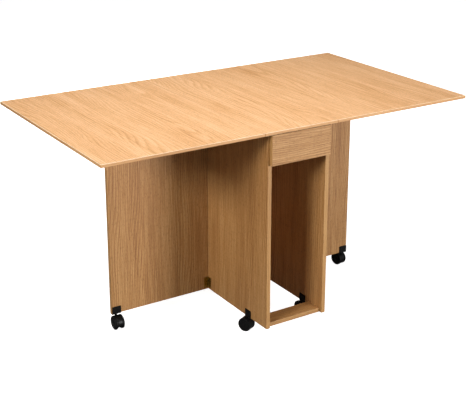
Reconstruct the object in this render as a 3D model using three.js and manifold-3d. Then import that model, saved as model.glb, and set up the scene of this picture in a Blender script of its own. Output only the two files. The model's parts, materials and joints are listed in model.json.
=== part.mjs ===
// Drop-leaf sewing and cutting table: a narrow open tower with a drawer, two gate panels that
// swing out of it to carry the leaves, and six swivelling twin-wheel casters.
//
// Millimetres, +Z up. The origin is on the floor under the middle of the table top.
// +X runs along the open top, and the drawer faces -Y.

import * as THREE from 'three';
import { mergeVertices } from 'three/addons/utils/BufferGeometryUtils.js';
import Module from 'manifold-3d';

const wasm = await Module();
wasm.setup();

// ---------------------------------------------------------------- driving dimensions

const FIT_GAP = 0.3; // clearance between pieces that touch

const TABLE_HEIGHT = 935;
const TOP_LENGTH = 1770; // leaves open
const TOP_DEPTH = 1003;
const TOP_THICKNESS = 12.8;
const CENTRE_TOP_WIDTH = 356;
const SEAM_GAP = 1.5;

const BOARD = 18; // every upright, the stretchers and the drawer front
const TOWER_WIDTH = 304;
const BOARD_FLOOR_CLEARANCE = 69;

const GATE_LENGTH = 482;
const GATE_TOP_CLEARANCE = 6; // the leaf hinges pass over the gate in this space
const GATE_FRONT_Y = -14;
const GATE_EDGE_GAP = 1.5;

const STRETCHER_DEPTH = 78;
const STRETCHER_SETBACK = 14;
const APRON_HEIGHT = 120;
const TOP_RAIL_WIDTH = 60;
const REST_BLOCK = { length: 60, width: 60, fromGateEnd: 50 };

const DRAWER = {
  frontWidth: 290,
  frontHeight: 128,
  frontTopGap: 2,
  boxLength: 400,
  boxHeight: 85,
  wall: 12,
  sideClearance: 3,
  bottomThickness: 4,
  bottomRise: 8,
  groove: 5,
};
const RUNNER = { gauge: 1.5, height: 30, ledge: 15, length: 410 };

const BUTT_HINGE = { height: 51, leafWidth: 20, gauge: 1.5, barrel: 2.7, axisOffset: 3, pin: 1.3 };
const BUTT_HINGE_INSET = 8;
const LONG_HINGE = { length: 960, leafWidth: 16, gauge: 1, barrel: 2.2, pin: 1, knuckles: 12 };

const BRACKET = { width: 42, rise: 33, gauge: 2.5, holeSpacing: 24, holeRadius: 2.2 };
const BRACKET_TO_GATE_END = 21.5;
const CASTER_TO_TOWER_END = 139;
const CASTER = {
  wheelRadius: 31,
  shoulderRadius: 26,
  trail: 17,
  web: 7,
  hoodWidth: 21,
  hoodRadius: 30.4,
  wheelInside: 4,
  rimInside: 11,
  wheelOutside: 21,
  axleRadius: 2.5,
  axleHalf: 17,
  bossRadius: 5.5,
  stemRadius: 4,
};

// ---------------------------------------------------------------- derived positions

const undersideZ = TABLE_HEIGHT - TOP_THICKNESS;
const boardBottomZ = BOARD_FLOOR_CLEARANCE;
const towerHalf = TOWER_WIDTH / 2;
const bayHalf = towerHalf - BOARD;
const topFrontY = -TOP_DEPTH / 2;
const towerFrontY = topFrontY + BOARD + FIT_GAP;
const towerRearY = TOP_DEPTH / 2 - BOARD;
const seamX = CENTRE_TOP_WIDTH / 2 + SEAM_GAP / 2;
const gateTopZ = undersideZ - GATE_TOP_CLEARANCE;
const gateInnerX = towerHalf + GATE_EDGE_GAP;
const gateOuterX = gateInnerX + GATE_LENGTH;
const gatePivotX = towerHalf + BUTT_HINGE.axisOffset;
const gatePivotY = GATE_FRONT_Y - BUTT_HINGE.axisOffset;

const LEFT = -1;
const RIGHT = 1;
const SIDES = [['left', LEFT], ['right', RIGHT]];

// ---------------------------------------------------------------- materials

function finish(color, roughness, metalness = 0) {
  return new THREE.MeshStandardMaterial({ color, roughness, metalness });
}

const lightOak = finish('#e6b87c', 0.45);
const oak = finish('#b9854f', 0.5);
const drawerBirch = finish('#d9bd8f', 0.6);
const hardboard = finish('#8a6038', 0.8);
const blackSteel = finish('#141312', 0.45, 0.3);
const blackNylon = finish('#1b1b1c', 0.5);
const zincSteel = finish('#b8b8b4', 0.4, 0.9);
const brass = finish('#b08a3c', 0.35, 0.95);

// ---------------------------------------------------------------- shape helpers

function solidOf(geometry) {
  const bare = geometry.clone();
  bare.deleteAttribute('normal');
  bare.deleteAttribute('uv');
  const merged = mergeVertices(bare, 1e-4);
  return new wasm.Manifold(new wasm.Mesh({
    numProp: 3,
    vertProperties: new Float32Array(merged.attributes.position.array),
    triVerts: new Uint32Array(merged.index.array),
  }));
}

function geometryOf(solid) {
  const mesh = solid.getMesh();
  const geometry = new THREE.BufferGeometry();
  geometry.setAttribute('position', new THREE.BufferAttribute(mesh.vertProperties, 3));
  geometry.setIndex(new THREE.BufferAttribute(mesh.triVerts, 1));
  geometry.computeVertexNormals();
  return geometry;
}

// A box between two limits on each axis.
function blockGeometry(x, y, z) {
  const geometry = new THREE.BoxGeometry(
    Math.abs(x[1] - x[0]), Math.abs(y[1] - y[0]), Math.abs(z[1] - z[0]));
  return geometry.translate((x[0] + x[1]) / 2, (y[0] + y[1]) / 2, (z[0] + z[1]) / 2);
}

function block(x, y, z) {
  return solidOf(blockGeometry(x, y, z));
}

// A round bar along one axis between two limits, centred on the other two coordinates.
function bar(axis, limits, radius, centre, sides) {
  const geometry = new THREE.CylinderGeometry(radius, radius, limits[1] - limits[0], sides);
  const middle = (limits[0] + limits[1]) / 2;
  if (axis === 'x') {
    geometry.rotateZ(Math.PI / 2).translate(middle, centre[0], centre[1]);
  } else if (axis === 'y') {
    geometry.translate(centre[0], middle, centre[1]);
  } else {
    geometry.rotateX(Math.PI / 2).translate(centre[0], centre[1], middle);
  }
  return solidOf(geometry);
}

function place(parent, name, geometry, material) {
  const mesh = new THREE.Mesh(geometry, material);
  mesh.name = name;
  parent.add(mesh);
  return mesh;
}

function placeBlock(parent, name, x, y, z, material) {
  return place(parent, name, blockGeometry(x, y, z), material);
}

// Limits on X for something that lies from near to far on one side of the middle.
function span(side, near, far) {
  return side === LEFT ? [-far, -near] : [near, far];
}

const table = new THREE.Group();

// ---------------------------------------------------------------- table top

function addTop() {
  const depth = [topFrontY, -topFrontY];
  const thickness = [undersideZ, TABLE_HEIGHT];
  const centreHalf = CENTRE_TOP_WIDTH / 2;
  placeBlock(table, 'top_centre', [-centreHalf, centreHalf], depth, thickness, lightOak);
  for (const [word, side] of SIDES) {
    const across = span(side, centreHalf + SEAM_GAP, TOP_LENGTH / 2);
    placeBlock(table, `leaf_${word}`, across, depth, thickness, lightOak);

    // A pad under the leaf that the end of the open gate comes to rest beneath.
    const padFar = gateOuterX - REST_BLOCK.fromGateEnd;
    const padTop = undersideZ - FIT_GAP;
    const middleY = GATE_FRONT_Y + BOARD / 2;
    placeBlock(
      table,
      `rest_block_${word}`,
      span(side, padFar - REST_BLOCK.length, padFar),
      [middleY - REST_BLOCK.width / 2, middleY + REST_BLOCK.width / 2],
      [padTop - (GATE_TOP_CLEARANCE - 2 * FIT_GAP - 0.4), padTop],
      oak);
  }
}

// One half of the long hinge under a seam. Knuckles alternate between the halves.
function longHingeHalf(side, towardLeaf) {
  const { length, leafWidth, gauge, barrel, pin, knuckles } = LONG_HINGE;
  const axisZ = undersideZ - FIT_GAP - barrel;
  const axisX = side * seamX;
  const outward = towardLeaf ? side : -side;
  const pitch = length / knuckles;
  const plateX = [axisX, axisX + outward * leafWidth].sort((a, b) => a - b);
  const plateZ = [axisZ + barrel - gauge, axisZ + barrel];
  let half = block(plateX, [-length / 2, length / 2], plateZ);
  half = half.add(bar('y', [-length / 2, length / 2], barrel, [axisX, axisZ], 8));
  const reliefX = [axisX - barrel - FIT_GAP, axisX + barrel + FIT_GAP];
  for (let i = 0; i < knuckles; i += 1) {
    if ((i % 2 === 0) === towardLeaf) {
      const start = -length / 2 + i * pitch - (i === 0 ? 1 : FIT_GAP / 2);
      const end = -length / 2 + (i + 1) * pitch + (i === knuckles - 1 ? 1 : FIT_GAP / 2);
      half = half.subtract(block(reliefX, [start, end], [axisZ - barrel - 1, undersideZ]));
    }
  }
  const bore = bar('y', [-length, length], pin + FIT_GAP, [axisX, axisZ], 8);
  return half.subtract(bore);
}

function addLongHinges() {
  const reach = LONG_HINGE.length / 2;
  const axisZ = undersideZ - FIT_GAP - LONG_HINGE.barrel;
  for (const [word, side] of SIDES) {
    const centreHalf = geometryOf(longHingeHalf(side, false));
    const leafHalf = geometryOf(longHingeHalf(side, true));
    const pin = geometryOf(bar('y', [-reach, reach], LONG_HINGE.pin, [side * seamX, axisZ], 8));
    place(table, `leaf_hinge_${word}_centre_half`, centreHalf, zincSteel);
    place(table, `leaf_hinge_${word}_leaf_half`, leafHalf, zincSteel);
    place(table, `leaf_hinge_${word}_pin`, pin, zincSteel);
  }
}

// ---------------------------------------------------------------- tower

function addTower() {
  const insideX = [-bayHalf + FIT_GAP, bayHalf - FIT_GAP];
  const restZ = undersideZ - FIT_GAP;
  for (const [word, side] of SIDES) {
    placeBlock(
      table,
      `side_panel_${word}`,
      span(side, bayHalf, towerHalf),
      [towerFrontY, towerRearY],
      [boardBottomZ, restZ],
      oak);
  }
  const stretcherZ = [boardBottomZ, boardBottomZ + BOARD];
  const frontStart = towerFrontY + STRETCHER_SETBACK;
  const rearStart = towerRearY - STRETCHER_SETBACK;
  const frontY = [frontStart, frontStart + STRETCHER_DEPTH];
  const rearY = [rearStart - STRETCHER_DEPTH, rearStart];
  placeBlock(table, 'stretcher_front', insideX, frontY, stretcherZ, oak);
  placeBlock(table, 'stretcher_rear', insideX, rearY, stretcherZ, oak);

  const railY = [towerFrontY + 5, towerFrontY + 5 + TOP_RAIL_WIDTH];
  placeBlock(table, 'top_rail_front', insideX, railY, [restZ - BOARD, restZ], oak);
  const apronY = [towerRearY - BOARD, towerRearY];
  placeBlock(table, 'rear_apron', insideX, apronY, [restZ - APRON_HEIGHT, restZ], oak);
}

// ---------------------------------------------------------------- drawer

function addDrawer() {
  const { frontWidth, frontHeight, frontTopGap, boxLength, boxHeight, wall } = DRAWER;
  const { sideClearance, bottomThickness, bottomRise, groove } = DRAWER;
  const frontTopZ = undersideZ - frontTopGap;
  const frontBottomZ = frontTopZ - frontHeight;
  const boxBottomZ = frontBottomZ + BOARD / 2 + 5;
  const boxTopZ = boxBottomZ + boxHeight;
  const boxHalf = bayHalf - sideClearance;
  const insideHalf = boxHalf - wall;
  const boxFrontY = topFrontY + BOARD + FIT_GAP;
  const boxRearY = boxFrontY + boxLength;
  const grooveZ = [boxBottomZ + bottomRise, boxBottomZ + bottomRise + bottomThickness + 2 * FIT_GAP];
  const bottomZ = [grooveZ[0] + FIT_GAP, grooveZ[1] - FIT_GAP];

  const frontX = [-frontWidth / 2, frontWidth / 2];
  placeBlock(table, 'drawer_front', frontX, [topFrontY, topFrontY + BOARD], [frontBottomZ, frontTopZ], oak);

  for (const [word, side] of SIDES) {
    const board = block(span(side, insideHalf, boxHalf), [boxFrontY, boxRearY], [boxBottomZ, boxTopZ]);
    const cut = block(
      span(side, insideHalf - 1, insideHalf + groove + FIT_GAP), [boxFrontY - 1, boxRearY + 1], grooveZ);
    place(table, `drawer_side_${word}`, geometryOf(board.subtract(cut)), drawerBirch);
  }
  const backX = [-insideHalf + FIT_GAP, insideHalf - FIT_GAP];
  const backZ = [bottomZ[1] + FIT_GAP, boxTopZ];
  placeBlock(table, 'drawer_back', backX, [boxRearY - wall, boxRearY], backZ, drawerBirch);
  const bottomX = [-insideHalf - groove, insideHalf + groove];
  const bottomY = [boxFrontY + FIT_GAP, boxRearY];
  placeBlock(table, 'drawer_bottom', bottomX, bottomY, bottomZ, hardboard);

  // Angle runners on the tower's side panels. The drawer sides ride on their ledges.
  const ledgeTopZ = boxBottomZ - FIT_GAP;
  const runnerY = [towerFrontY + BOARD / 2, towerFrontY + BOARD / 2 + RUNNER.length];
  const wallFar = bayHalf - FIT_GAP;
  for (const [word, side] of SIDES) {
    const upright = block(
      span(side, wallFar - RUNNER.gauge, wallFar),
      runnerY,
      [ledgeTopZ - RUNNER.gauge, ledgeTopZ - RUNNER.gauge + RUNNER.height]);
    const ledge = block(
      span(side, wallFar - RUNNER.ledge, wallFar), runnerY, [ledgeTopZ - RUNNER.gauge, ledgeTopZ]);
    place(table, `drawer_runner_${word}`, geometryOf(upright.add(ledge)), zincSteel);
  }
}

// ---------------------------------------------------------------- gates and their hinges

// Both halves of a butt hinge are drawn about the pin, for the left gate: the fixed half lies
// against the side panel and runs towards -Y, the swinging half against the gate towards -X.
// The outer knuckles and the pin belong to the fixed half, the middle one to the swinging half.
function buttHingeHalves() {
  const { height, leafWidth, gauge, barrel, axisOffset, pin } = BUTT_HINGE;
  const half = height / 2;
  const face = axisOffset - FIT_GAP;
  const middleKnuckle = [-height / 6, height / 6];
  const relief = barrel + FIT_GAP;
  const sides = 12;

  const fixedPlate = block([face - gauge, face], [-leafWidth, 0], [-half, half]);
  const reliefForSwing = block(
    [-relief, relief], [-relief, relief], [middleKnuckle[0] - FIT_GAP, middleKnuckle[1] + FIT_GAP]);
  const fixed = fixedPlate
    .add(bar('z', [-half, half], barrel, [0, 0], sides))
    .subtract(reliefForSwing)
    .add(bar('z', [-half, half], pin, [0, 0], sides));

  const swingPlate = block([-leafWidth, 0], [face - gauge, face], [-half, half]);
  const outerRelief = (low, high) => block([-relief, relief], [-relief, relief], [low, high]);
  const swinging = swingPlate
    .add(bar('z', middleKnuckle, barrel, [0, 0], sides))
    .subtract(outerRelief(-half - 1, middleKnuckle[0]))
    .subtract(outerRelief(middleKnuckle[1], half + 1))
    .subtract(bar('z', [-height, height], pin + FIT_GAP, [0, 0], sides));
  return [fixed, swinging];
}

function addGates() {
  const [fixedHalf, swingingHalf] = buttHingeHalves();
  const hingeHeights = [
    ['lower', boardBottomZ + BUTT_HINGE_INSET + BUTT_HINGE.height / 2],
    ['upper', gateTopZ - BUTT_HINGE_INSET - BUTT_HINGE.height / 2],
  ];
  for (const [word, side] of SIDES) {
    placeBlock(
      table,
      `gate_${word}`,
      span(side, gateInnerX, gateOuterX),
      [GATE_FRONT_Y, GATE_FRONT_Y + BOARD],
      [boardBottomZ, gateTopZ],
      oak);
    for (const [level, z] of hingeHeights) {
      const flip = side === LEFT ? [1, 1, 1] : [-1, 1, 1];
      const knuckle = new THREE.Group();
      knuckle.position.set(side * gatePivotX, gatePivotY, z);
      table.add(knuckle);
      const panelHalf = geometryOf(fixedHalf.scale(flip));
      const gateHalf = geometryOf(swingingHalf.scale(flip));
      place(knuckle, `gate_hinge_${word}_${level}_panel_half`, panelHalf, brass);
      place(knuckle, `gate_hinge_${word}_${level}_gate_half`, gateHalf, brass);
    }
  }
}

// ---------------------------------------------------------------- casters

// Angle bracket, drawn with the board's face at y = 0 and the board's bottom edge at z = 0.
// The plate stands on the face, and the foot that holds the stem lies under the edge.
function bracketSolid() {
  const { width, rise, gauge, holeSpacing, holeRadius } = BRACKET;
  const footTop = -FIT_GAP;
  const across = [-width / 2, width / 2];
  const plate = block(across, [-FIT_GAP - gauge, -FIT_GAP], [footTop - gauge, rise]);
  const foot = block(across, [-FIT_GAP - gauge, BOARD - 1], [footTop - gauge, footTop]);
  const stemHole = bar('z', [-gauge * 4, gauge * 4], CASTER.stemRadius + FIT_GAP, [0, BOARD / 2], 16);
  let solid = plate.add(foot).subtract(stemHole);
  for (const x of [-holeSpacing / 2, holeSpacing / 2]) {
    solid = solid.subtract(bar('y', [-gauge * 4, gauge * 4], holeRadius, [x, rise * 0.55], 8));
  }
  return solid;
}

// Hood, web, axle and stem in one moulding, drawn about the stem with the floor at z = 0 and
// the wheels trailing towards -Y.
function yokeSolid() {
  const { wheelRadius, trail, web, hoodWidth, hoodRadius, shoulderRadius } = CASTER;
  const { axleRadius, axleHalf, bossRadius, stemRadius, rimInside } = CASTER;
  const axle = [-trail, wheelRadius];
  const hoodHalf = hoodWidth / 2;
  const footTop = boardBottomZ - FIT_GAP;
  const footBottom = footTop - BRACKET.gauge;
  const hoodBottom = wheelRadius - 6;
  const lower = block([-hoodHalf - 1, hoodHalf + 1], [-2 * trail - 20, 20], [-1, hoodBottom]);
  const dome = bar('x', [-hoodHalf, hoodHalf], hoodRadius, axle, 32).subtract(lower);
  const boss = bar('z', [hoodBottom, footBottom - 1], bossRadius, [0, 0], 20);
  let solid = dome.add(boss);
  for (const side of [LEFT, RIGHT]) {
    const room = bar('x', span(side, web / 2, rimInside + 1), shoulderRadius + 0.7, axle, 32);
    solid = solid.subtract(room);
  }
  const webDisc = bar('x', [-web / 2, web / 2], wheelRadius - 9, axle, 24);
  const axlePin = bar('x', [-axleHalf, axleHalf], axleRadius, axle, 12);
  const stem = bar('z', [footBottom - 2, footTop - FIT_GAP], stemRadius, [0, 0], 16);
  return solid.add(webDisc).add(axlePin).add(stem);
}

// A wheel turned about X, with a blind bore for the axle and a narrower inner shoulder that
// runs under the hood.
function wheelGeometry() {
  const { wheelRadius, shoulderRadius, wheelInside, rimInside, wheelOutside } = CASTER;
  const { axleRadius, axleHalf } = CASTER;
  const bore = axleRadius + FIT_GAP;
  const profile = [
    [0, axleHalf + FIT_GAP],
    [bore, axleHalf + FIT_GAP],
    [bore, wheelInside],
    [shoulderRadius, wheelInside],
    [shoulderRadius, rimInside],
    [wheelRadius, rimInside],
    [wheelRadius, wheelOutside - 2.5],
    [wheelRadius - 8, wheelOutside],
    [0, wheelOutside],
  ].map(([radius, across]) => new THREE.Vector2(radius, across));
  const spun = new THREE.LatheGeometry(profile, 24);
  return geometryOf(solidOf(spun.rotateZ(-Math.PI / 2)));
}

const TOWARDS_FRONT = 0; // yoke angle that trails the wheels towards -Y
const TOWARDS_REAR = Math.PI;
const SLIGHTLY_TURNED = THREE.MathUtils.degToRad(10);
const WELL_TURNED = THREE.MathUtils.degToRad(25);
const FACING_FRONT = 0; // bracket angle on a face that looks towards -Y
const FACING_LEFT = -Math.PI / 2;

const casterAxisY = towerFrontY + CASTER_TO_TOWER_END;
const gateCasterX = gateOuterX - BRACKET_TO_GATE_END;
const CASTERS = [
  { word: 'gate_left', at: [-gateCasterX, GATE_FRONT_Y], face: FACING_FRONT, wheels: TOWARDS_FRONT },
  {
    word: 'gate_right',
    at: [gateCasterX, GATE_FRONT_Y],
    face: FACING_FRONT,
    wheels: TOWARDS_REAR + SLIGHTLY_TURNED,
  },
  {
    word: 'front_left',
    at: [-towerHalf, casterAxisY],
    face: FACING_LEFT,
    wheels: TOWARDS_REAR + WELL_TURNED,
  },
  { word: 'front_right', at: [bayHalf, casterAxisY], face: FACING_LEFT, wheels: TOWARDS_REAR },
  { word: 'rear_left', at: [-towerHalf, -casterAxisY], face: FACING_LEFT, wheels: TOWARDS_REAR },
  { word: 'rear_right', at: [bayHalf, -casterAxisY], face: FACING_LEFT, wheels: TOWARDS_REAR },
];

function addCasters() {
  const bracket = geometryOf(bracketSolid());
  const yoke = geometryOf(yokeSolid());
  const wheel = wheelGeometry();
  for (const { word, at, face, wheels } of CASTERS) {
    const seat = new THREE.Group();
    seat.position.set(at[0], at[1], 0);
    seat.rotation.z = face;
    table.add(seat);
    const plate = place(seat, `caster_${word}_bracket`, bracket, blackSteel);
    plate.position.z = boardBottomZ;

    const swivel = new THREE.Group();
    swivel.position.y = BOARD / 2;
    swivel.rotation.z = wheels - face;
    seat.add(swivel);
    place(swivel, `caster_${word}_yoke`, yoke, blackNylon);
    for (const [number, turn] of [[1, Math.PI], [2, 0]]) {
      const rolling = place(swivel, `caster_${word}_wheel_${number}`, wheel, blackNylon);
      rolling.position.set(0, -CASTER.trail, CASTER.wheelRadius);
      rolling.rotation.z = turn;
    }
  }
}

addTop();
addLongHinges();
addTower();
addDrawer();
addGates();
addCasters();

export default table;
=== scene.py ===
"""Drop-leaf sewing table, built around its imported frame.

The boards, hinges, drawer, runners and casters are modelled here at the places that the frame
gives, each with its own finish, and stand in a plain pale studio.
"""

import json
import logging
import math
from collections.abc import Callable
from dataclasses import dataclass
from enum import Enum

import bmesh
import bpy
from mathutils import Matrix, Vector

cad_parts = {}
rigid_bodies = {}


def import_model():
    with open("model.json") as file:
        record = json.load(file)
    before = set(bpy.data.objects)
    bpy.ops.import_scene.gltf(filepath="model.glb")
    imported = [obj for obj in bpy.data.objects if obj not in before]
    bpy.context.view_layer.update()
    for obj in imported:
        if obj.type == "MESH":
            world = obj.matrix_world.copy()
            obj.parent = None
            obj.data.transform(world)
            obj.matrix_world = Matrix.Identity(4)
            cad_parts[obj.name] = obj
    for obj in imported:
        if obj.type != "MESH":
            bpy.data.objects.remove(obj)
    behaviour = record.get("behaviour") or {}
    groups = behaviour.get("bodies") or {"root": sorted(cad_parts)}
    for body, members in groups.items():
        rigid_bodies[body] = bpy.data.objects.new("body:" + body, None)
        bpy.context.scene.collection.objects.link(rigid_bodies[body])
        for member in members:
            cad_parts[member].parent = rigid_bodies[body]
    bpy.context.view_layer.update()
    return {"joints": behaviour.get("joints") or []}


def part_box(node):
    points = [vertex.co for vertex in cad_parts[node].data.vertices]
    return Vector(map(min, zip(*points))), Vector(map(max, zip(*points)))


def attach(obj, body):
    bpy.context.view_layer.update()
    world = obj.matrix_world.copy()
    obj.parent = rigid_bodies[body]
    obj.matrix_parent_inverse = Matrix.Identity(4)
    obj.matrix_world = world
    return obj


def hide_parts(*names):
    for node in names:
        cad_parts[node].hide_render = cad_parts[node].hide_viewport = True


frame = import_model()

LOG = logging.getLogger("sewing_table")
MM = 0.001
SIDES = ("left", "right")
CASTERS = ("gate_left", "gate_right", "front_left", "front_right", "rear_left", "rear_right")
TOUCHING = 1e-6  # points closer than this are taken as one
FACING = 0.9  # the least share of a face's normal that points the way it is said to face
ALONG = 0.999  # the least share of an edge that runs along the axis it is said to follow
SMOOTH_UP_TO = math.radians(32)  # faces of a round piece that meet at more than this stay sharp


class Axis(Enum):
    """A direction of the frame: along the open top, front to back, or upright."""

    X = 0
    Y = 1
    Z = 2

    def vector(self) -> Vector:
        """Return the unit vector along this axis."""
        return Vector([1.0 if i == self.value else 0.0 for i in range(3)])

    def across(self) -> Vector:
        """Return the sum of the other two axes, which runs across the grain on any face."""
        return Vector([0.0 if i == self.value else 1.0 for i in range(3)])


# ------------------------------------------------------------------ finishes


def to_linear(colour: str) -> tuple[float, float, float, float]:
    """Turn an sRGB hex colour into a linear one.

    Args:
        colour: A colour such as "#c89a5b".

    Returns:
        Red, green, blue and an alpha of 1.
    """
    channels = [int(colour[i:i + 2], 16) / 255 for i in (1, 3, 5)]
    linear = [c / 12.92 if c <= 0.04045 else ((c + 0.055) / 1.055) ** 2.4 for c in channels]
    return (linear[0], linear[1], linear[2], 1.0)


def add_node(
    tree: bpy.types.NodeTree,
    kind: str,
    values: dict | None = None,
    links: dict | None = None,
    stops: list | None = None,
    **settings: object,
) -> bpy.types.Node:
    """Add one shader node.

    Args:
        tree: The node tree that takes it.
        kind: The node's type name.
        values: Input name or number to its fixed value.
        links: Input name or number to the output socket that feeds it.
        stops: Positions and colours of a colour ramp.
        **settings: Properties of the node itself.

    Returns:
        The new node.
    """
    node = tree.nodes.new(kind)
    for key, value in settings.items():
        setattr(node, key, value)
    for key, value in (values or {}).items():
        node.inputs[key].default_value = value
    for key, socket in (links or {}).items():
        tree.links.new(socket, node.inputs[key])
    if stops:
        ramp = node.color_ramp.elements
        while len(ramp) < len(stops):
            ramp.new(0.5)
        for element, (position, colour) in zip(ramp, stops):
            element.position = position
            element.color = colour
    return node


def grey(level: float) -> tuple[float, float, float, float]:
    """Return a grey of the given linear level."""
    return (level, level, level, 1.0)


def start_material(name: str) -> tuple[bpy.types.Material, bpy.types.NodeTree, bpy.types.Node]:
    """Make an empty material.

    Args:
        name: The material's name.

    Returns:
        The material, its node tree and its Principled shader.
    """
    material = bpy.data.materials.new(name)
    material.use_nodes = True
    tree = material.node_tree
    return material, tree, tree.nodes["Principled BSDF"]


def dress_shader(
    shader: bpy.types.Node,
    colour: bpy.types.NodeSocket,
    wear: bpy.types.NodeSocket,
    wear_range: tuple,
    roughness_range: tuple,
    height: bpy.types.NodeSocket,
    strength: float,
    depth_mm: float,
) -> None:
    """Feed a shader its colour, a roughness that follows the wear, and its relief.

    Args:
        shader: The Principled shader.
        colour: The colour.
        wear: The pattern that the roughness follows.
        wear_range: The two levels of that pattern between which the roughness changes.
        roughness_range: The roughness at those two levels.
        height: The pattern of the relief.
        strength: How strongly the relief turns the light.
        depth_mm: How deep the relief is.
    """
    tree = shader.id_data
    rough = add_node(
        tree, "ShaderNodeMapRange", links={"Value": wear},
        values={"From Min": wear_range[0], "From Max": wear_range[1],
                "To Min": roughness_range[0], "To Max": roughness_range[1]})
    bump = add_node(
        tree, "ShaderNodeBump", links={"Height": height},
        values={"Strength": strength, "Distance": depth_mm * MM})
    tree.links.new(colour, shader.inputs["Base Color"])
    tree.links.new(rough.outputs["Result"], shader.inputs["Roughness"])
    tree.links.new(bump.outputs["Normal"], shader.inputs["Normal"])


@dataclass(frozen=True)
class Woodgrain:
    """Wood or printed woodgrain laminate whose figure runs along one axis.

    Flat-sawn oak shows the eye three scales at once: soft bands of tone a hand wide, growth
    rings that close into tall arches, and short dark pores between fine fibres. Fibres and
    pores are drawn a few times coarser than real ones, so that they still show on a whole table.
    """

    name: str
    pale: str
    middle: str
    dark: str
    ring_mm: float = 13.0
    ring_share: float = 0.30
    streak_share: float = 0.34
    band_share: float = 0.30
    fibre_share: float = 0.22
    pore_share: float = 0.35
    roughness: float = 0.42
    rings_bent: float = 17.0
    pore_colour: str = "#8a6a4a"

    def material(self, grain: Axis) -> bpy.types.Material:
        """Return the material with its grain along the given axis, made once."""
        name = f"{self.name}_{grain.name.lower()}"
        return bpy.data.materials.get(name) or self._make(name, grain)

    def _make(self, name: str, grain: Axis) -> bpy.types.Material:
        """Build the node tree for one grain direction.

        Args:
            name: The material's name.
            grain: The way the grain runs.

        Returns:
            The new material.
        """
        material, tree, shader = start_material(name)
        place = add_node(tree, "ShaderNodeTexCoord").outputs["Object"]
        across = add_node(
            tree, "ShaderNodeVectorMath", operation="DOT_PRODUCT",
            values={1: grain.across()}, links={0: place}).outputs["Value"]
        along = add_node(
            tree, "ShaderNodeVectorMath", operation="DOT_PRODUCT",
            values={1: grain.vector()}, links={0: place}).outputs["Value"]
        flat = add_node(
            tree, "ShaderNodeCombineXYZ", links={"X": across, "Y": along}).outputs[0]

        def figure(across_mm: float, along_mm: float, detail: float) -> bpy.types.NodeSocket:
            """Draw noise out along the grain.

            Args:
                across_mm: How wide its features are.
                along_mm: How long they are.
                detail: How many finer octaves it has.

            Returns:
                The noise's level.
            """
            stretched = add_node(
                tree, "ShaderNodeVectorMath", operation="MULTIPLY", links={0: flat},
                values={1: (1 / (across_mm * MM), 1 / (along_mm * MM), 1.0)})
            return add_node(
                tree, "ShaderNodeTexNoise", noise_dimensions="2D", links={"Vector": stretched.outputs[0]},
                values={"Scale": 1.0, "Detail": detail, "Roughness": 0.55}).outputs["Fac"]

        # Growth rings: evenly spaced lines, bent by a slow swirl until some close into arches.
        bend = add_node(
            tree, "ShaderNodeMath", operation="MULTIPLY", links={0: figure(230, 1150, 1.5)},
            values={1: self.rings_bent}).outputs[0]
        count = add_node(
            tree, "ShaderNodeMath", operation="MULTIPLY_ADD", links={0: across, 2: bend},
            values={1: 1 / (self.ring_mm * MM)}).outputs[0]
        ring = add_node(
            tree, "ShaderNodeMath", operation="FRACT", links={0: count}).outputs[0]
        ring = add_node(
            tree, "ShaderNodeValToRGB", links={"Fac": ring},
            stops=[(0.0, grey(0.15)), (0.14, grey(0.0)), (0.42, grey(0.75)),
                   (0.85, grey(1.0)), (1.0, grey(0.15))]).outputs["Color"]

        # Each scale of the figure pulls the tone up or down about the middle.
        tone = None
        scales = [
            (ring, self.ring_share),
            (figure(7, 260, 2.0), self.streak_share),
            (figure(60, 900, 2.0), self.band_share),
            (figure(1.6, 70, 2.0), self.fibre_share),
        ]
        for source, share in scales:
            centred = add_node(
                tree, "ShaderNodeMath", operation="MULTIPLY_ADD", links={0: source},
                values={1: share, 2: -share / 2 + (0.5 if tone is None else 0.0)})
            if tone is None:
                tone = centred.outputs[0]
            else:
                tone = add_node(
                    tree, "ShaderNodeMath", operation="ADD",
                    links={0: tone, 1: centred.outputs[0]}).outputs[0]
        colour = add_node(
            tree, "ShaderNodeValToRGB", links={"Fac": tone},
            stops=[(0.30, to_linear(self.dark)), (0.5, to_linear(self.middle)),
                   (0.68, to_linear(self.pale))]).outputs["Color"]

        pores = add_node(
            tree, "ShaderNodeValToRGB", links={"Fac": figure(1.1, 17, 1.0)},
            stops=[(0.30, grey(1.0)), (0.40, grey(0.0))]).outputs["Color"]
        shade = add_node(
            tree, "ShaderNodeMath", operation="MULTIPLY", links={0: pores},
            values={1: self.pore_share}).outputs[0]
        pored = add_node(
            tree, "ShaderNodeMix", data_type="RGBA", blend_type="MULTIPLY",
            links={"Factor": shade, 6: colour}, values={7: to_linear(self.pore_colour)})
        relief = add_node(
            tree, "ShaderNodeMath", operation="SUBTRACT", links={0: tone, 1: pores}).outputs[0]
        dress_shader(
            shader, pored.outputs[2], tone, (0.25, 0.75),
            (self.roughness + 0.06, self.roughness - 0.05), relief, 0.35, 0.08)
        shader.inputs["IOR"].default_value = 1.5
        return material


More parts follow.
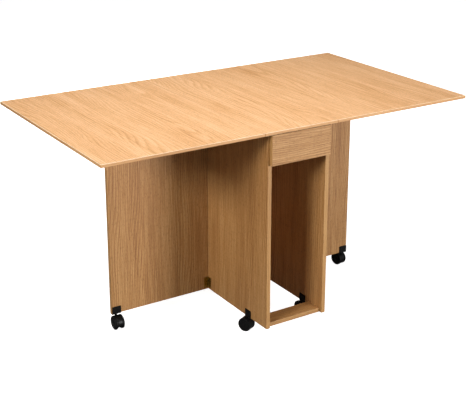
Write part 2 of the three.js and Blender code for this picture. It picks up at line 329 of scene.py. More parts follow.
@dataclass(frozen=True)
class Speckled:
    """A finish with one colour broken by fine grain: powder coat, moulded nylon or hardboard."""

    name: str
    base: str
    fleck: str
    grain_mm: float
    roughness: float
    relief_mm: float = 0.03
    patch_mm: float = 30.0
    sheen: float = 0.5

    def material(self) -> bpy.types.Material:
        """Return the material, made once.

        Returns:
            The material.
        """
        made = bpy.data.materials.get(self.name)
        if made:
            return made
        material, tree, shader = start_material(self.name)
        place = add_node(tree, "ShaderNodeTexCoord").outputs["Object"]
        fine = add_node(
            tree, "ShaderNodeTexNoise", links={"Vector": place},
            values={"Scale": 1 / (self.grain_mm * MM), "Detail": 2.0}).outputs["Fac"]
        patch = add_node(
            tree, "ShaderNodeTexNoise", links={"Vector": place},
            values={"Scale": 1 / (self.patch_mm * MM), "Detail": 3.0}).outputs["Fac"]
        both = add_node(
            tree, "ShaderNodeMath", operation="MULTIPLY", links={0: fine, 1: patch}).outputs[0]
        colour = add_node(
            tree, "ShaderNodeValToRGB", links={"Fac": both},
            stops=[(0.14, to_linear(self.base)), (0.42, to_linear(self.fleck))]).outputs["Color"]
        dress_shader(
            shader, colour, patch, (0.3, 0.7), (self.roughness - 0.06, self.roughness + 0.08),
            fine, 0.5, self.relief_mm)
        shader.inputs["Specular IOR Level"].default_value = self.sheen
        return material


@dataclass(frozen=True)
class Plated:
    """Rolled sheet metal with a thin plating, drawn along the sheet and dulled in patches."""

    name: str
    bright: str
    dull: str
    roughness: float
    line_mm: tuple = (0.6, 14, 0.6)
    patch_mm: float = 9.0

    def material(self) -> bpy.types.Material:
        """Return the material, made once.

        Returns:
            The material.
        """
        made = bpy.data.materials.get(self.name)
        if made:
            return made
        material, tree, shader = start_material(self.name)
        place = add_node(tree, "ShaderNodeTexCoord").outputs["Object"]
        drawn = add_node(
            tree, "ShaderNodeMapping", links={"Vector": place},
            values={"Scale": [1 / (size * MM) for size in self.line_mm]}).outputs[0]
        lines = add_node(
            tree, "ShaderNodeTexNoise", links={"Vector": drawn},
            values={"Scale": 1.0, "Detail": 2.0}).outputs["Fac"]
        patch = add_node(
            tree, "ShaderNodeTexNoise", links={"Vector": place},
            values={"Scale": 1 / (self.patch_mm * MM), "Detail": 4.0}).outputs["Fac"]
        colour = add_node(
            tree, "ShaderNodeValToRGB", links={"Fac": patch},
            stops=[(0.35, to_linear(self.dull)), (0.62, to_linear(self.bright))]).outputs["Color"]
        dress_shader(
            shader, colour, lines, (0.3, 0.7), (self.roughness - 0.08, self.roughness + 0.10),
            lines, 0.3, 0.02)
        shader.inputs["Metallic"].default_value = 1.0
        return material


# Light oak laminate on the top: pale and golden, with a soft figure under a satin wear layer.
TOP_OAK = Woodgrain(
    "light_oak_laminate_printed", pale="#f0c294", middle="#e2ae7a", dark="#c68d56",
    ring_share=0.14, streak_share=0.36, fibre_share=0.34, pore_share=0.42, roughness=0.50)
# The same oak print on the uprights and rails, browner, with denser rings and darker pores.
PANEL_OAK = Woodgrain(
    "oak_laminate_printed", pale="#c2955f", middle="#ac7b45", dark="#8d5e31",
    ring_mm=9.0, ring_share=0.16, streak_share=0.36, fibre_share=0.38, pore_share=0.55,
    roughness=0.52)
# Edge banding is a thin strip of the same print, glued on the sawn edge and trimmed.
BAND_OAK = Woodgrain(
    "oak_edge_band_trimmed", pale="#c69a62", middle="#b2834c", dark="#956638",
    ring_mm=6, ring_share=0.12, streak_share=0.3, pore_share=0.3, roughness=0.44)
# The top's banding is painted darker than the top's print: painted shade on its edge faces, which get
# less light than the top.
TOP_BAND_SHADED = Woodgrain(
    "light_oak_edge_band_painted_shade", pale="#d9a973", middle="#c8935c", dark="#ad7843",
    ring_mm=6, ring_share=0.12, streak_share=0.3, pore_share=0.25, roughness=0.42)
# Where the banding is trimmed flush and rounded, its rim is painted pale: a painted highlight of the
# light caught on the rounded edge.
TOP_RIM_HIGHLIGHT = Woodgrain(
    "light_oak_edge_band_painted_highlight", pale="#f8e3c6", middle="#f3d9b6", dark="#e6c497",
    ring_share=0.08, streak_share=0.2, pore_share=0.1, roughness=0.38)
# Drawer boxes are plain sanded birch, nearly without figure.
DRAWER_BIRCH = Woodgrain(
    "birch_sanded", pale="#e6cfa4", middle="#dabf90", dark="#c6a672",
    ring_mm=19, ring_share=0.14, streak_share=0.2, pore_share=0.12, roughness=0.6)
# The line of glue between a laminate face and its banding reads as a thin brown scribe.
GLUE_LINE = Speckled("hot_melt_glue_trimmed", "#6b4423", "#835a33", 0.8, 0.6)
# Pressed hardboard is matt brown, clouded by its fibres.
HARDBOARD = Speckled("hardboard_pressed", "#6d4a2c", "#94704a", 1.2, 0.75, relief_mm=0.05, patch_mm=55)
# Powder coat and moulded nylon are nearly black, and only their fine texture breaks the sheen.
BLACK_STEEL = Speckled("steel_powder_coated", "#060505", "#0e0c0b", 0.7, 0.55, relief_mm=0.04, sheen=0.16)
BLACK_NYLON = Speckled("nylon_moulded", "#060606", "#101011", 0.5, 0.40, relief_mm=0.02, sheen=0.22)
TYRE_NYLON = Speckled("nylon_tyre_moulded", "#050506", "#111112", 0.9, 0.50, relief_mm=0.03, sheen=0.18)
# Thin plating keeps the lines of the rolled sheet and dulls in patches.
BRASS = Plated("brass_plated_steel", "#b59142", "#7d6426", 0.34)
ZINC = Plated("zinc_plated_steel", "#c9cac8", "#9b9d9c", 0.32)


# ------------------------------------------------------------------ making pieces


def add_piece(
    name: str,
    shape: bmesh.types.BMesh,
    materials: list,
    body: str,
    replaces: tuple = (),
    smooth: bool = False,
) -> None:
    """Turn a finished shape into a piece of the table.

    Args:
        name: The piece's name.
        shape: Its mesh in the frame's metres; it is freed here.
        materials: Its materials, in the order of the faces' material numbers.
        body: The body that it rides on.
        replaces: The frame's nodes that it stands for.
        smooth: Whether round faces are shaded smooth.
    """
    mesh = bpy.data.meshes.new(name)
    shape.to_mesh(mesh)
    shape.free()
    for material in materials:
        mesh.materials.append(material)
    if smooth:
        mesh.shade_smooth()
        mesh.set_sharp_from_angle(angle=SMOOTH_UP_TO)
    piece = bpy.data.objects.new(name, mesh)
    bpy.context.scene.collection.objects.link(piece)
    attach(piece, body)
    if replaces:
        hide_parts(*replaces)
    LOG.info("%s: %d faces on %s", name, len(mesh.polygons), body)


def add_block(shape: bmesh.types.BMesh, low: Vector, high: Vector) -> None:
    """Add a box between two corners.

    Args:
        shape: The mesh that takes it.
        low: Its lowest corner.
        high: Its highest corner.
    """
    made = bmesh.ops.create_cube(shape, size=1.0)["verts"]
    bmesh.ops.scale(shape, verts=made, vec=high - low)
    bmesh.ops.translate(shape, verts=made, vec=(low + high) / 2)


def add_drum(
    shape: bmesh.types.BMesh, place: Matrix, radius: float, length: float,
    sides: int, chamfer: float = 0.0,
) -> None:
    """Add a round bar along the local Z of a placing matrix, centred on its origin.

    Args:
        shape: The mesh that takes it.
        place: Where the bar's middle is, and which way it points.
        radius: Its radius.
        length: Its length.
        sides: How many flats it has.
        chamfer: The size of the bevel on both rims, or 0.
    """
    made = bmesh.ops.create_cone(
        shape, cap_ends=True, segments=sides, radius1=radius, radius2=radius,
        depth=length, matrix=place)["verts"]
    if chamfer:
        known = set(made)
        caps = [f for f in shape.faces if len(f.verts) == sides and known.issuperset(f.verts)]
        rims = list({e for f in caps for e in f.edges})
        bmesh.ops.bevel(
            shape, geom=rims, offset=chamfer, offset_type="OFFSET", segments=2,
            profile=0.5, affect="EDGES", material=-1)


def edges_along(shape: bmesh.types.BMesh, axis: Axis, where: Callable[[Vector], bool]) -> list:
    """Find straight edges by direction and place.

    Args:
        shape: The mesh to search.
        axis: The direction of the edges.
        where: A test of an edge's middle point.

    Returns:
        The edges that run along the axis and pass the test.
    """
    found = []
    for edge in shape.edges:
        ends = edge.verts[1].co - edge.verts[0].co
        middle = (edge.verts[0].co + edge.verts[1].co) / 2
        if abs(ends.normalized()[axis.value]) > ALONG and where(middle):
            found.append(edge)
    return found


def soften(shape: bmesh.types.BMesh, edges: list, radius: float, segments: int = 2) -> None:
    """Round some edges.

    Args:
        shape: The mesh that has them.
        edges: The edges.
        radius: How far the rounding reaches.
        segments: How many faces it has.
    """
    bmesh.ops.bevel(
        shape, geom=edges, offset=radius, offset_type="OFFSET", segments=segments,
        profile=0.5, affect="EDGES", material=-1, clamp_overlap=True)


def sharp_edges(shape: bmesh.types.BMesh, least_degrees: float = 50.0) -> list:
    """Return the edges whose faces meet at more than the given angle."""
    limit = math.radians(least_degrees)
    return [e for e in shape.edges if len(e.link_faces) == 2 and e.calc_face_angle(0.0) > limit]


def cut_level(shape: bmesh.types.BMesh, height: float, keep_above: bool = False) -> None:
    """Cut a shape's faces along a level plane.

    Args:
        shape: The mesh to cut.
        height: The height of the plane.
        keep_above: Whether what is below the plane is taken away.
    """
    bmesh.ops.bisect_plane(
        shape, geom=shape.verts[:] + shape.edges[:] + shape.faces[:],
        plane_co=Vector((0, 0, height)), plane_no=Vector((0, 0, 1)), clear_inner=keep_above)


def push_strip(
    shape: bmesh.types.BMesh, facing: Vector, low: float, high: float, by: Vector,
) -> None:
    """Push one level strip of a shape's side in or out.

    Args:
        shape: The mesh that has it.
        facing: The way the side faces.
        low: The height under the strip.
        high: The height over the strip.
        by: How far it is pushed, and which way.
    """
    strip = [
        f for f in shape.faces
        if f.normal.dot(facing) > FACING and low < f.calc_center_median().z < high]
    pushed = bmesh.ops.extrude_face_region(shape, geom=strip)["geom"]
    moved = [v for v in pushed if isinstance(v, bmesh.types.BMVert)]
    bmesh.ops.translate(shape, verts=moved, vec=by)
    bmesh.ops.delete(shape, geom=strip, context="FACES")


def add_angle(
    shape: bmesh.types.BMesh, low: Vector, high: Vector, gauge: float, facing: Vector, reach: float,
) -> None:
    """Add a bent angle: an upright plate whose lowest strip is drawn out into a foot.

    Args:
        shape: The mesh that takes it.
        low: The plate's lowest corner.
        high: The plate's highest corner.
        gauge: The sheet's thickness.
        facing: The way the foot runs from the plate.
        reach: How far the foot stands out of the plate.
    """
    add_block(shape, low, high)
    cut_level(shape, low.z + gauge)
    push_strip(shape, facing, low.z, low.z + gauge, facing * reach)


def seat(at: Vector, out: Vector) -> Matrix:
    """Return the matrix that carries a shape to a point and turns its Z to the given way."""
    return Matrix.Translation(at) @ out.to_track_quat("Z", "Y").to_matrix().to_4x4()


def axes_at(origin: Vector, right: Vector, deep: Vector, up: Vector) -> Matrix:
    """Return the matrix that carries X, Y and Z to an origin and three directions."""
    return Matrix.Translation(origin) @ Matrix((right, deep, up)).transposed().to_4x4()


def find_joint(name: str) -> dict:
    """Return the frame's joint of the given name."""
    return next(joint for joint in frame["joints"] if joint["name"] == name)


# ------------------------------------------------------------------ boards


@dataclass
class Board:
    """One board of the table, laminated on its faces and banded round its edges."""

    node: str
    body: str
    grain: Axis
    slot: str = "board_laminate"
    face: Woodgrain = PANEL_OAK
    band: Woodgrain = BAND_OAK
    arris: float = 0.7 * MM
    band_width: float = 1.0 * MM
    glue_width: float = 0.3 * MM
    corner: float = 0.0
    round_x: tuple = ()
    # The pale rim's material, a painted highlight on the free edges; with it the free edges are also
    # rounded.
    rim: Woodgrain | None = None
    rim_radius: float = 1.4 * MM

    def build(self) -> None:
        """Model the board in place of its node."""
        low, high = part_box(self.node)
        size = high - low
        thin = min(range(3), key=lambda i: size[i])
        long_axes = [Axis(i) for i in range(3) if i != thin]
        materials = [self.face.material(self.grain)]
        materials += [self.band.material(axis) for axis in long_axes]
        materials.append(GLUE_LINE.material())
        glue = len(materials) - 1
        # The rim's material paints a pale highlight along the free edges.
        if self.rim:
            materials.append(self.rim.material(self.grain))

        shape = bmesh.new()
        add_block(shape, low, high)
        if self.corner:
            ends = [low.x if side < 0 else high.x for side in self.round_x]
            chosen = edges_along(
                shape, Axis(thin), lambda p: any(abs(p.x - end) < TOUCHING for end in ends))
            soften(shape, chosen, self.corner, 5)
        shape.faces.ensure_lookup_table()
        broad = [f for f in shape.faces if abs(f.normal[thin]) > FACING]
        for face in broad:
            strip = bmesh.ops.inset_region(
                shape, faces=[face], thickness=self.band_width, use_even_offset=True)["faces"]
            self._dress_edges(strip, long_axes)
            line = bmesh.ops.inset_region(
                shape, faces=[face], thickness=self.glue_width, use_even_offset=True)["faces"]
            for part in line:
                part.material_index = glue
            if self.rim:
                self._paint_rim_highlight(strip, line, glue + 1, low, high)
        narrow = [f for f in shape.faces if abs(f.normal[thin]) < FACING]
        self._dress_edges(narrow, long_axes)
        if self.rim:
            free = [
                e for e in sharp_edges(shape)
                if self._is_free((e.verts[0].co + e.verts[1].co) / 2, low, high)]
            soften(shape, free, self.rim_radius, 3)
        soften(shape, sharp_edges(shape), self.arris, 2)
        for vertex in shape.verts:  # the rounding may lift a point by a few micrometres
            kept = [min(max(c, least), most) for c, least, most in zip(vertex.co, low, high)]
            vertex.co = Vector(kept)
        add_piece(f"{self.node}_board", shape, materials, self.body, (self.node,))

    def _is_free(self, point: Vector, low: Vector, high: Vector) -> bool:
        """Tell whether a point lies by the front, the back or an end that meets no other board.

        Args:
            point: The point.
            low: The board's lowest corner.
            high: The board's highest corner.

        Returns:
            Whether it does.
        """
        near = 1.5 * self.band_width
        ends = [low.x if side < 0 else high.x for side in self.round_x]
        by_end = any(abs(point.x - end) < near for end in ends)
        return by_end or min(point.y - low.y, high.y - point.y) < near

    def _paint_rim_highlight(self, strip: list, line: list, rim: int, low: Vector, high: Vector) -> None:
        """Paint a pale highlight on the free sides of a broad face's band, and none on the seams.

        Args:
            strip: The faces of the band's thickness.
            line: The faces of the glue line.
            rim: The material number of the rim's painted highlight.
            low: The board's lowest corner.
            high: The board's highest corner.
        """
        for part in strip:
            part.material_index = rim if self._is_free(part.calc_center_median(), low, high) else 0
        for part in line:
            if not self._is_free(part.calc_center_median(), low, high):
                part.material_index = 0

    @staticmethod
    def _dress_edges(faces: list, long_axes: list) -> None:
        """Give edge faces the banding whose grain follows their length.

        Args:
            faces: The faces on the board's edges, or of the banding's thickness.
            long_axes: The two axes of the board's length and width.
        """
        for face in faces:
            ends = [sorted(v.co[i] for v in face.verts) for i in range(3)]
            span = [places[-1] - places[0] for places in ends]
            longest = max(long_axes, key=lambda axis: span[axis.value])
            face.material_index = 1 + long_axes.index(longest)


@dataclass
class PlainBoard:
    """An unbanded board of one material, with softened edges and an optional groove inside."""

    node: str
    body: str
    slot: str
    material: bpy.types.Material
    arris: float = 0.8 * MM
    groove_side: int = 0
    groove_low: float = 0.0
    groove_high: float = 0.0
    groove_depth: float = 0.0

    def build(self) -> None:
        """Model the board in place of its node."""
        low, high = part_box(self.node)
        shape = bmesh.new()
        add_block(shape, low, high)
        if self.groove_side:
            facing = Vector((self.groove_side, 0, 0))
            for height in (self.groove_low, self.groove_high):
                cut_level(shape, height)
            push_strip(
                shape, facing, self.groove_low, self.groove_high, -facing * self.groove_depth)
            bmesh.ops.recalc_face_normals(shape, faces=shape.faces[:])
        soften(shape, sharp_edges(shape), self.arris, 2)
        name = f"{self.node}_board"
        add_piece(name, shape, [self.material], self.body, (self.node,))


# ------------------------------------------------------------------ screws and hinges


@dataclass(frozen=True)
class Screw:
    """A cross-recess screw of which only the low domed head shows."""

    radius: float = 3.0 * MM
    rise: float = 0.7 * MM
    arm_share: float = 0.13
    reach_share: float = 0.55
    crown_share: float = 0.72
    ring_share: float = 0.1
    depth_share: float = 0.55
    sides: int = 12

    def add(self, shape: bmesh.types.BMesh, place: Matrix) -> None:
        """Add one head.

        Args:
            shape: The mesh that takes it.
            place: The middle of its seat, with local Z pointing out of the work.
        """
        arm = self.arm_share * self.radius
        reach = self.reach_share * self.radius
        cross = [
            (reach, -arm), (reach, arm), (arm, arm), (arm, reach), (-arm, reach), (-arm, arm),
            (-reach, arm), (-reach, -arm), (-arm, -arm), (-arm, -reach), (arm, -reach), (arm, -arm)]
        made = bmesh.ops.create_cone(
            shape, cap_ends=True, segments=self.sides, radius1=self.radius,
            radius2=self.crown_share * self.radius, depth=self.rise,
            matrix=Matrix.Translation((0, 0, self.rise / 2)))["verts"]
        known = set(made)
        crown = [
            f for f in shape.faces
            if known.issuperset(f.verts) and len(f.verts) == self.sides and f.normal.z > FACING]
        ring = bmesh.ops.inset_region(
            shape, faces=crown, thickness=self.ring_share * self.radius)["faces"]
        inner = sorted(crown[0].verts, key=lambda v: math.atan2(v.co.y, v.co.x) % math.tau)
        for vertex, (x, y) in zip(inner, cross):
            vertex.co.x, vertex.co.y = x, y
        sunk = bmesh.ops.inset_region(shape, faces=crown, thickness=0.0, depth=0.0)["faces"]
        bmesh.ops.translate(
            shape, verts=list(crown[0].verts), vec=Vector((0, 0, -self.depth_share * self.rise)))
        known.update(v for f in ring + sunk + crown for v in f.verts)
        bmesh.ops.transform(shape, matrix=place, verts=list(known))

    def drive(
        self, holder: str, places: list, out: Vector, finish: Plated | Speckled, body: str, slot: str,
    ) -> None:
        """Model all the screws of one fitting as a piece.

        Args:
            holder: The name of what they hold.
            places: The middles of their seats.
            out: The way their heads face.
            finish: Their finish.
            body: The body that they ride on.
            slot: The record's material slot; not used.
        """
        heads = bmesh.new()
        for at in places:
            self.add(heads, seat(at, out))
        add_piece(f"{holder}_screws", heads, [finish.material()], body)


@dataclass
class Hinge:
    """A hinge whose two plates lie on their boards and share a row of knuckles on one pin.

    Each plate is described by the way it runs from the pin (run) and the way its back faces
    (back), where its board is.
    """

    centre: Vector
    pin: Vector
    length: float
    leaf_width: float
    gauge: float
    barrel: float
    knuckles: int
    screw_rows: int
    screw: Screw
    finish: Plated
    slot: str
    knuckle_gap: float = 0.15 * MM
    barrel_gap: float = 0.4 * MM
    corner: float = 2.0 * MM
    arris: float = 0.18 * MM
    chamfer: float = 0.2 * MM
    stagger_share: float = 0.12

    def half(self, name: str, run: Vector, back: Vector, parity: int, body: str, node: str) -> None:
        """Model one plate with its knuckles, and its screws as a piece of their own.

        Args:
            name: The piece's name.
            run: The way the plate runs from the pin.
            back: The way the plate's back faces.
            parity: 0 if it has the first, third and later odd knuckles, 1 if the others.
            body: The body that it rides on.
            node: The frame's node that it stands for.
        """
        shape = bmesh.new()
        to_world = axes_at(self.centre, run, back, self.pin)
        pitch = self.length / self.knuckles
        gap = self.knuckle_gap
        relief = self.barrel + self.barrel_gap
        low_back, high_back = self.barrel - self.gauge, self.barrel
        add_block(
            shape, Vector((relief, low_back, -self.length / 2)),
            Vector((self.leaf_width, high_back, self.length / 2)))
        corners = edges_along(shape, Axis.Y, lambda p: p.x > self.leaf_width - TOUCHING)
        soften(shape, corners, self.corner, 3)
        soften(shape, sharp_edges(shape), self.arris, 1)
        for number in range(parity, self.knuckles, 2):
            middle = -self.length / 2 + (number + 0.5) * pitch
            add_block(
                shape, Vector((0.0, low_back, middle - pitch / 2 + gap)),
                Vector((relief, high_back, middle + pitch / 2 - gap)))
            add_drum(
                shape, Matrix.Translation((0, 0, middle)), self.barrel, pitch - 2 * gap,
                sides=16, chamfer=self.chamfer)
        bmesh.ops.transform(shape, matrix=to_world, verts=shape.verts[:])
        bmesh.ops.recalc_face_normals(shape, faces=shape.faces[:])
        add_piece(name, shape, [self.finish.material()], body, (node,), smooth=True)

        step = self.length / self.screw_rows
        middle = (self.leaf_width + self.barrel) / 2
        stagger = self.stagger_share * self.leaf_width
        places = [
            to_world @ Vector((
                middle + (stagger if row % 2 else 0), low_back, -self.length / 2 + (row + 0.5) * step))
            for row in range(self.screw_rows)]
        self.screw.drive(name, places, -back, self.finish, body, self.slot)

    def rod(self, name: str, radius: float, body: str, replaces: tuple = ()) -> None:
        """Model the pin, with chamfered rims.

        Args:
            name: The piece's name.
            radius: The pin's radius.
            body: The body that it rides on.
            replaces: The frame's nodes that it stands for.
        """
        shape = bmesh.new()
        place = seat(self.centre, self.pin)
        add_drum(shape, place, radius, self.length, sides=16, chamfer=self.chamfer)
        add_piece(name, shape, [self.finish.material()], body, replaces, smooth=True)


# ------------------------------------------------------------------ sub-assemblies


@dataclass
class Top:
    """The fixed middle of the top, its two leaves, their long hinges and rest blocks."""

    hinge_leaf: float = 16 * MM
    hinge_gauge: float = 1.0 * MM
    hinge_barrel: float = 2.2 * MM
    hinge_knuckles: int = 32
    hinge_screws: int = 12
    corner: float = 3 * MM
    arris: float = 0.4 * MM
    band: float = 2 * MM
    glue_width: float = 0.2 * MM
    block_screw_shares: tuple = (0.15, 0.85)

    def build(self) -> None:
        """Model the whole top."""
        self._add_board("top_centre", "tower", 0.0, ())
        for side in SIDES:
            sign = -1 if side == "left" else 1
            self._add_board(f"leaf_{side}", f"leaf_{side}", self.corner, (sign,))
            self._add_hinge(side, sign)
            self._add_rest_block(side)

    def _add_board(self, node: str, body: str, corner: float, round_x: tuple) -> None:
        """Model one board of the top.

        Args:
            node: Its node.
            body: The body that it rides on.
            corner: The radius of its free corners.
            round_x: The sides, -1 or 1, that are a free end of the top.
        """
        # The top's banding is painted darker as painted shade, and its free rims pale as a painted
        # highlight.
        Board(
            node, body, Axis.Y, "top_laminate", TOP_OAK, TOP_BAND_SHADED, arris=self.arris,
            band_width=self.band, glue_width=self.glue_width, corner=corner, round_x=round_x,
            rim=TOP_RIM_HIGHLIGHT).build()

    def _add_hinge(self, side: str, sign: int) -> None:
        """Model the long hinge under one seam.

        Args:
            side: "left" or "right".
            sign: -1 or 1, the way from the middle to that side.
        """
        low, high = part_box(f"leaf_hinge_{side}_pin")
        hinge = Hinge(
            centre=(low + high) / 2, pin=Vector((0, 1, 0)), length=high.y - low.y,
            leaf_width=self.hinge_leaf, gauge=self.hinge_gauge, barrel=self.hinge_barrel,
            knuckles=self.hinge_knuckles, screw_rows=self.hinge_screws,
            screw=Screw(2.4 * MM, 0.5 * MM), finish=ZINC, slot="zinc_steel")
        name = f"leaf_hinge_{side}"
        outward, up = Vector((sign, 0, 0)), Vector((0, 0, 1))
        hinge.half(f"{name}_middle_plate", -outward, up, 0, "tower", f"{name}_centre_half")
        hinge.half(f"{name}_leaf_plate", outward, up, 1, f"leaf_{side}", f"{name}_leaf_half")
        hinge.rod(f"{name}_rod", (high.x - low.x) / 2, "tower", (f"{name}_pin",))

    def _add_rest_block(self, side: str) -> None:
        """Model the block that the open gate stops under, with its two screws.

        Args:
            side: "left" or "right".
        """
        node = f"rest_block_{side}"
        PlainBoard(node, f"leaf_{side}", "board_laminate", PANEL_OAK.material(Axis.X)).build()
        low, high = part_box(node)
        near = low.y + self.block_screw_shares[0] * (high.y - low.y)
        places = [
            Vector((low.x + share * (high.x - low.x), near, low.z))
            for share in self.block_screw_shares]
        down = Vector((0, 0, -1))
        Screw(2.8 * MM, 0.4 * MM).drive(node, places, down, ZINC, f"leaf_{side}", "zinc_steel")


@dataclass
class Tower:
    """The open tower: side panels, stretchers, front rail and rear apron."""

    def build(self) -> None:
        """Model the tower's boards."""
        for side in SIDES:
            Board(f"side_panel_{side}", "tower", Axis.Z).build()
        for node in ("stretcher_front", "stretcher_rear", "top_rail_front", "rear_apron"):
            Board(node, "tower", Axis.X).build()


@dataclass
class Drawer:
    """The drawer with its overlay front, grooved sides and angle runners."""

    groove_rise: float = 8 * MM
    groove_height: float = 4.6 * MM
    groove_depth: float = 5.3 * MM
    runner_gauge: float = 1.5 * MM
    runner_bend: float = 1.4 * MM
    runner_screws: int = 3
    screw_drop: float = 9 * MM

    def build(self) -> None:
        """Model the drawer and its runners."""
        Board("drawer_front", "drawer", Axis.X).build()
        birch_y = DRAWER_BIRCH.material(Axis.Y)
        birch_x = DRAWER_BIRCH.material(Axis.X)
        for side in SIDES:
            low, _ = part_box(f"drawer_side_{side}")
            start = low.z + self.groove_rise
            PlainBoard(
                f"drawer_side_{side}", "drawer", "drawer_box", birch_y,
                groove_side=1 if side == "left" else -1, groove_low=start,
                groove_high=start + self.groove_height, groove_depth=self.groove_depth).build()
            self._add_runner(side)
        PlainBoard("drawer_back", "drawer", "drawer_box", birch_x).build()
        PlainBoard("drawer_bottom", "drawer", "hardboard", HARDBOARD.material(), arris=0.4 * MM).build()

    def _add_runner(self, side: str) -> None:
        """Model one angle runner with its screws.

        Args:
            side: "left" or "right".
        """
        node = f"drawer_runner_{side}"
        low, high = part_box(node)
        sign = -1 if side == "left" else 1
        gauge = self.runner_gauge
        wall = high.x if sign > 0 else low.x
        inward = Vector((-sign, 0, 0))
        plate = sorted((wall - sign * gauge, wall))
        shape = bmesh.new()
        add_angle(
            shape, Vector((plate[0], low.y, low.z)), Vector((plate[1], high.y, high.z)), gauge,
            inward, (high.x - low.x) - gauge)
        bend = edges_along(
            shape, Axis.Y, lambda p: abs(p.x - wall) < TOUCHING and abs(p.z - low.z) < TOUCHING)
        soften(shape, bend, self.runner_bend, 4)
        soften(shape, sharp_edges(shape), 0.2 * MM, 1)
        bmesh.ops.recalc_face_normals(shape, faces=shape.faces[:])
        add_piece(f"{node}_angle", shape, [ZINC.material()], "tower", (node,))

        step = (high.y - low.y) / self.runner_screws
        places = [
            Vector((wall - sign * gauge, low.y + (number + 0.5) * step, high.z - self.screw_drop))
            for number in range(self.runner_screws)]
        Screw(2.6 * MM, 0.5 * MM).drive(node, places, inward, ZINC, "tower", "zinc_steel")


@dataclass
class Gate:
    """One gate panel with its two butt hinges."""

    side: str
    knuckles: int = 5
    leaf_width: float = 20 * MM
    gauge: float = 1.5 * MM
    barrel: float = 2.7 * MM
    pin_radius: float = 1.3 * MM
    hinge_screws: int = 2

    def build(self) -> None:
        """Model the panel and its hinges."""
        body = f"gate_{self.side}"
        Board(body, body, Axis.Z).build()
        swing = find_joint(f"gate_{self.side}_swing")["pos_m"]
        outward = Vector((-1 if self.side == "left" else 1, 0, 0))
        back = Vector((0, 1, 0))
        for level in ("lower", "upper"):
            name = f"gate_hinge_{self.side}_{level}"
            low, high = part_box(f"{name}_panel_half")
            hinge = Hinge(
                centre=Vector((swing[0], swing[1], (low.z + high.z) / 2)),
                pin=Vector((0, 0, 1)), length=high.z - low.z,
                leaf_width=self.leaf_width, gauge=self.gauge, barrel=self.barrel,
                knuckles=self.knuckles, screw_rows=self.hinge_screws,
                screw=Screw(3.2 * MM, 0.6 * MM), finish=BRASS, slot="brass")
            hinge.half(f"{name}_fixed_plate", -back, -outward, 0, "tower", f"{name}_panel_half")
            hinge.half(f"{name}_gate_plate", outward, back, 1, body, f"{name}_gate_half")
            hinge.rod(f"{name}_rod", self.pin_radius, "tower")


